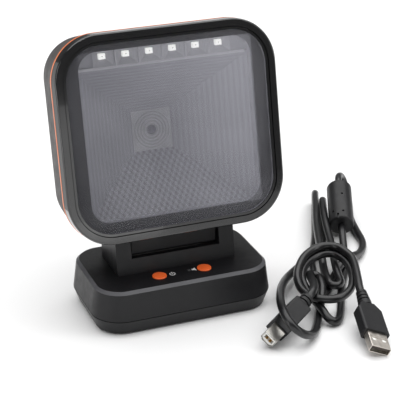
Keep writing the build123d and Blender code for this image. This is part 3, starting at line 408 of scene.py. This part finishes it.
white = Mat("insulator_white", 0.45)
white.color((0.70, 0.70, 0.68), (0.80, 0.80, 0.78), scale=400).roughness(0.4, 0.5, 500)
white.grain(2500, 0.1, 0.00003)
use(white, "usb_b_insert", "usb_b_tongue", "harness_header", "head_connector")
ins = Mat("insulator_a_painted_mouth_shade", 0.5)
ins.roughness(0.42, 0.55, 500)
# painted shade: the insulator is dark for about its first 3 mm behind the mouth and white deeper in
tip = Vector((0.08157, -0.10556, 0.00435))
ax = Vector((0.2503, 0.9475, 0.1992))
dp = ins.new("ShaderNodeVectorMath", operation="DOT_PRODUCT")
ins.link(ins.co.outputs["Object"], dp.inputs[0])
dp.inputs[1].default_value = ax
mouth_shade_depth = ins.math("ADD", ins.math("SUBTRACT", dp.outputs["Value"], tip.dot(ax)), ins.math("MULTIPLY", ins.noise(400, 3), 0.0006))
ins.link(ins.ramp(ins.math("MULTIPLY", mouth_shade_depth, 100.0), 0.28, 0.36, (0.030, 0.019, 0.012), (0.85, 0.85, 0.82)), ins.b.inputs["Base Color"])
ins.grain(2500, 0.1, 0.00003)
use(ins, "usb_a_insert")

acetal = Mat("washer_acetal", 0.4)
acetal.color((0.60, 0.59, 0.55), (0.70, 0.69, 0.65), scale=300).roughness(0.35, 0.5, 400)
acetal.grain(2000, 0.1, 0.00003)
use(acetal, "friction_washer_left", "friction_washer_right")
bronze = Mat("bush_bronze", 0.3, metallic=1.0)
bronze.color((0.48, 0.31, 0.14), (0.60, 0.42, 0.20), scale=300).roughness(0.25, 0.4, 400)
bronze.grain(1500, 0.1, 0.00003)
use(bronze, "hinge_bush_left", "hinge_bush_right")

jacket = Mat("lead_jacket", 0.28, spec=0.5)
jacket.color((0.0045, 0.0045, 0.005), (0.008, 0.008, 0.009), scale=150, detail=5).roughness(0.28, 0.34, 120)
jacket.grain(900, 0.02, 0.00001, 2)
lead.data.materials.append(jacket.m)

plug = Mat("plug_moulded_black", 0.42, spec=0.32)
plug.color((0.009, 0.009, 0.010), (0.015, 0.015, 0.016), scale=120, detail=5).roughness(0.36, 0.5, 300)
plug.grain(2400, 0.18, 0.00005, 3)
use(plug, "ferrite_core", "usb_a_body", "usb_a_relief", "usb_b_body", "usb_b_relief")


# ------------------------------------------------------------------ extra detail pieces
def mesh_piece(name, verts, faces, mat, body, smooth=False):
    me = bpy.data.meshes.new(name)
    me.from_pydata([tuple(v) for v in verts], [], faces)
    me.validate()
    bm = bmesh.new()
    bm.from_mesh(me)
    bmesh.ops.recalc_face_normals(bm, faces=bm.faces)
    bm.to_mesh(me)
    bm.free()
    if smooth:
        for p in me.polygons:
            p.use_smooth = True
    o = bpy.data.objects.new(name, me)
    scene.collection.objects.link(o)
    me.materials.append(mat.m)
    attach(o, body)
    return o


# flared reflector cells round the six lamps: thin closed shells
PITCH, LED_V = 13.59, 43.7
verts, faces = [], []
for i in range(6):
    cu_ = (i - 2.5) * PITCH
    hw, hh = 6.1, 0.0
    rings = []
    for (a, top, bot, w) in ((6.1, 47.6, 38.2, 6.3), (2.3, LED_V + 2.05, LED_V - 2.05, 9.2), (2.3, LED_V + 2.05, LED_V - 2.05, 9.35), (6.1, 47.6, 38.2, 6.6)):
        if i in (0, 5):
            top = top if a < 3 else 46.9
        b = len(verts)
        verts += [hpt(cu_ - a, top, w), hpt(cu_ + a, top, w), hpt(cu_ + a, bot, w), hpt(cu_ - a, bot, w)]
        rings.append(b)
    for r in range(4):
        r0, r1 = rings[r], rings[(r + 1) % 4]
        for j in range(4):
            faces.append((r0 + j, r0 + (j + 1) % 4, r1 + (j + 1) % 4, r1 + j))
cells = mesh_piece("led_reflector_cells", verts, faces, refl, "head")

def box_at(fn, u0, u1, v0, v1, w0, w1):
    """Eight corners and six faces of a small block laid out by fn(u, v, w)."""
    vs = [fn(u, v, w) for w in (w0, w1) for u, v in ((u0, v0), (u1, v0), (u1, v1), (u0, v1))]
    return vs, [(0, 1, 2, 3), (4, 7, 6, 5), (0, 4, 5, 1), (1, 5, 6, 2), (2, 6, 7, 3), (3, 7, 4, 0)]


# lip along the lower edge of the lamp strip, a real edge whose lighter colour than the reflector is a painted highlight
# along that edge
vs, fs = box_at(hpt, -49.0, 49.0, 36.6, 38.0, 7.4, 9.3)
lip_highlight_mat = Mat("strip_lip", 0.35, spec=0.45)
lip_highlight_mat.color((0.36, 0.36, 0.38), (0.42, 0.42, 0.44), scale=60).roughness(0.3, 0.42, 200)
lip_highlight_mat.grain(1500, 0.08, 0.00004)
mesh_piece("lamp_strip_lip", vs, fs, lip_highlight_mat, "head")

# gold contacts inside the mouth of the type B plug
B_TIP = Vector((0.0287, -0.0755, 0.0062))
B_Z = (Vector((0.0619, -0.05497, 0.01493)) - B_TIP).normalized()
B_X = Vector((0.521, -0.573, -0.6326))
B_X = (B_X - B_Z * B_X.dot(B_Z)).normalized()
B_Y = B_Z.cross(B_X)
gold = Mat("contact_gold", 0.28, metallic=1.0)
gold.color((0.72, 0.46, 0.14), (0.86, 0.58, 0.22), scale=600).roughness(0.22, 0.36, 600)
gold.grain(2000, 0.08, 0.00002)
verts, faces = [], []
for xc in (-1.25, 1.25):
    for y0, y1 in ((-1.80, -1.45), (1.05, 1.40)):
        vs, fs = box_at(lambda u, v, w: B_TIP + (B_X * u + B_Y * v + B_Z * w) * 0.001, xc - 0.6, xc + 0.6, y0, y1, 0.6, 7.5)
        b = len(verts)
        verts += vs
        faces += [tuple(b + i for i in f) for f in fs]
mesh_piece("type_b_contacts", verts, faces, gold, "usb_cable")

# dark die in the middle of every lamp
verts, faces = [], []
for i in range(6):
    c_ = (i - 2.5) * PITCH
    b = len(verts)
    for w in (7.90, 8.02):
        verts += [hpt(c_ - 0.28, LED_V - 0.22, w), hpt(c_ + 0.28, LED_V - 0.22, w), hpt(c_ + 0.28, LED_V + 0.22, w), hpt(c_ - 0.28, LED_V + 0.22, w)]
    faces += [(b, b + 1, b + 2, b + 3), (b + 4, b + 7, b + 6, b + 5), (b, b + 4, b + 5, b + 1), (b + 1, b + 5, b + 6, b + 2),
              (b + 2, b + 6, b + 7, b + 3), (b + 3, b + 7, b + 4, b)]
die = Mat("lamp_die", 0.4)
die.color((0.10, 0.10, 0.09), (0.16, 0.16, 0.14), scale=2000).roughness(0.35, 0.5, 900)
die.grain(2500, 0.1, 0.00003)
mesh_piece("led_dies", verts, faces, die, "head")

# ------------------------------------------------------------------ floor
fl = bpy.data.meshes.new("floor")
fl.from_pydata([(-3, -3, -0.0002), (3, -3, -0.0002), (3, 3, -0.0002), (-3, 3, -0.0002)], [], [(0, 1, 2, 3)])
floor = bpy.data.objects.new("floor", fl)
scene.collection.objects.link(floor)
fmat = Mat("floor_pale", 0.7, spec=0.2)
fmat.color((0.88, 0.88, 0.88), (0.90, 0.90, 0.90), scale=3).roughness(0.65, 0.75, 10)
fl.materials.append(fmat.m)

# ------------------------------------------------------------------ light
world = bpy.data.worlds.new("studio")
world.use_nodes = True
bg = world.node_tree.nodes["Background"]
bg.inputs["Color"].default_value = (1, 1, 1, 1)
bg.inputs["Strength"].default_value = 0.20
scene.world = world


def area(name, loc, target, size, power, size_y=None):
    l = bpy.data.lights.new(name, "AREA")
    l.energy = power
    l.size = size
    if size_y:
        l.shape = "RECTANGLE"
        l.size_y = size_y
    o = bpy.data.objects.new(name, l)
    scene.collection.objects.link(o)
    d = Vector(target) - Vector(loc)
    o.matrix_world = Matrix.Translation(Vector(loc)) @ d.to_track_quat("-Z", "Y").to_matrix().to_4x4()
    return o


sun_data = bpy.data.lights.new("overhead_soft", "SUN")
sun_data.energy = 3.4
sun_data.angle = radians(85)
sun = bpy.data.objects.new("overhead_soft", sun_data)
scene.collection.objects.link(sun)
sun.matrix_world = Matrix.Rotation(radians(-8), 4, "X") @ Matrix.Rotation(radians(6), 4, "Y")

area("left_strip", (-0.9, -0.35, 0.35), (0, 0, 0.09), 0.05, 2.2, 0.8)
area("right_strip", (0.95, -0.55, 0.55), (0.05, 0, 0.08), 0.35, 3.0, 0.9)
area("front_soft", (-0.15, -1.4, 0.10), (0, 0, 0.09), 1.2, 1.2, 0.25)
